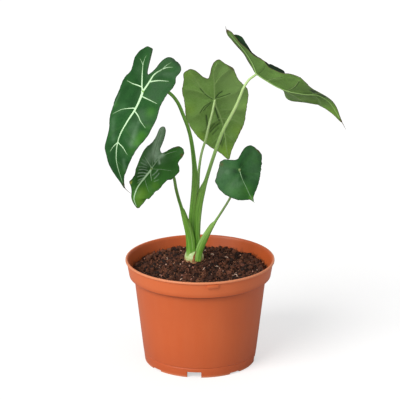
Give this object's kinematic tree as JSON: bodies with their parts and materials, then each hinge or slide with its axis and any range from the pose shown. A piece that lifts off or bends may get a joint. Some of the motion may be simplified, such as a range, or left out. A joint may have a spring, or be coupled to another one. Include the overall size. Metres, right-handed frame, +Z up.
{
  "type": "potted alocasia",
  "caption": "Young arrow-leaved alocasia in a round plastic nursery pot: long petioles sheathed round a corm in dark potting mix, with pale-veined blades.",
  "frame": {"origin": "the point of the pot's axis on the surface that it stands on, at the centre of the pot's flat base pad", "axes": "+Z up along the pot's axis, -Y towards the viewer of the picture, +X to the viewer's right"},
  "size_m": [0.2324, 0.1603, 0.3443],
  "materials": {
    "terracotta_plastic": "moulded terracotta-coloured polypropylene, faint satin sheen",
    "potting_mix": "loose dark coir and bark crumbs",
    "corm_skin": "pale green, brown-speckled at the soil line",
    "dried_sheath": "dry papery brown",
    "root_skin": "fleshy, cream",
    "petiole": "smooth waxy green, paler upwards",
    "leaf_blade": "velvety dark green above with pale veins, light olive below"
  },
  "bodies": {
    "root": {"pot": "terracotta_plastic", "potting_mix": "potting_mix", "corm": "corm_skin", "dried_sheath": "dried_sheath", "root_1": "root_skin", "root_2": "root_skin", "root_3": "root_skin", "root_4": "root_skin", "root_5": "root_skin", "root_6": "root_skin", "petiole_left_tall": "petiole", "petiole_right_tall": "petiole", "petiole_back": "petiole", "petiole_left_low": "petiole", "petiole_right_low": "petiole", "leaf_blade_left_tall": "leaf_blade", "leaf_blade_right_tall": "leaf_blade", "leaf_blade_back": "leaf_blade", "leaf_blade_left_low": "leaf_blade", "leaf_blade_right_low": "leaf_blade"}
  },
  "joints": []
}
